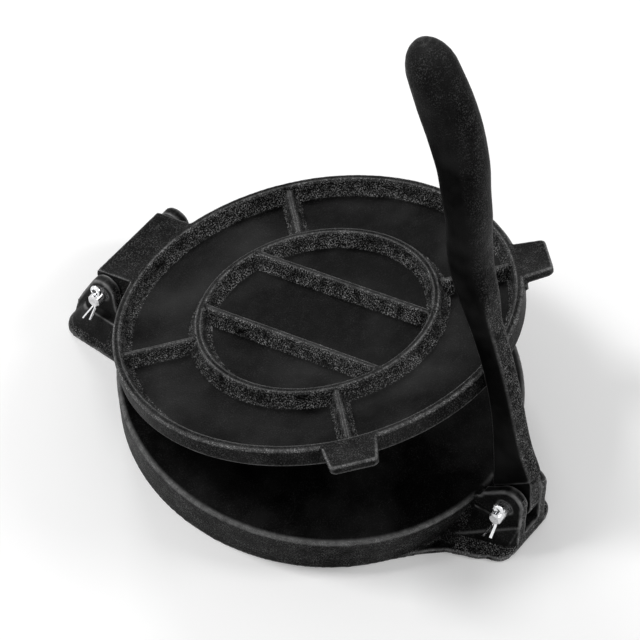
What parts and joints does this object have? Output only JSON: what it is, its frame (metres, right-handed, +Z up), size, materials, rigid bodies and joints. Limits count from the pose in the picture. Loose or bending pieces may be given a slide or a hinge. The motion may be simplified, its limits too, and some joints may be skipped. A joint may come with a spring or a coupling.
{
  "type": "tortilla press",
  "caption": "Cast-iron tortilla press: round plates on a rear hinge pin, pressed by a curved lever that swings in a front clevis, held by cotter pins.",
  "frame": {"origin": "on the table under the centre of the lower plate, in the plane of its skirt and ribs", "axes": "+Z up, X along both pivots, the lever's clevis at -Y and the plates' hinge at +Y"},
  "size_m": [0.21, 0.2675, 0.2985],
  "materials": {
    "cast_iron": "seasoned black, satin, sand-cast",
    "pin_steel": "bright zinc-plated steel rod",
    "zinc": "bright zinc-plated steel wire"
  },
  "bodies": {
    "base": {"base_plate": "cast_iron", "hinge_pin": "pin_steel", "hinge_cotter": "zinc", "lever_pin": "pin_steel", "lever_cotter": "zinc"},
    "lid": {"upper_plate": "cast_iron"},
    "lever": {"lever": "cast_iron"}
  },
  "joints": [
    {"name": "lid_hinge", "type": "hinge", "parent": "base", "child": "lid", "pos_m": [0, 0.1174, 0.0305], "axis": [-1, 0, 0], "range_deg": [-18, 105]},
    {"name": "lever_hinge", "type": "hinge", "parent": "base", "child": "lever", "pos_m": [0, -0.121, 0.029], "axis": [1, 0, 0], "range_deg": [0, 100]}
  ]
}
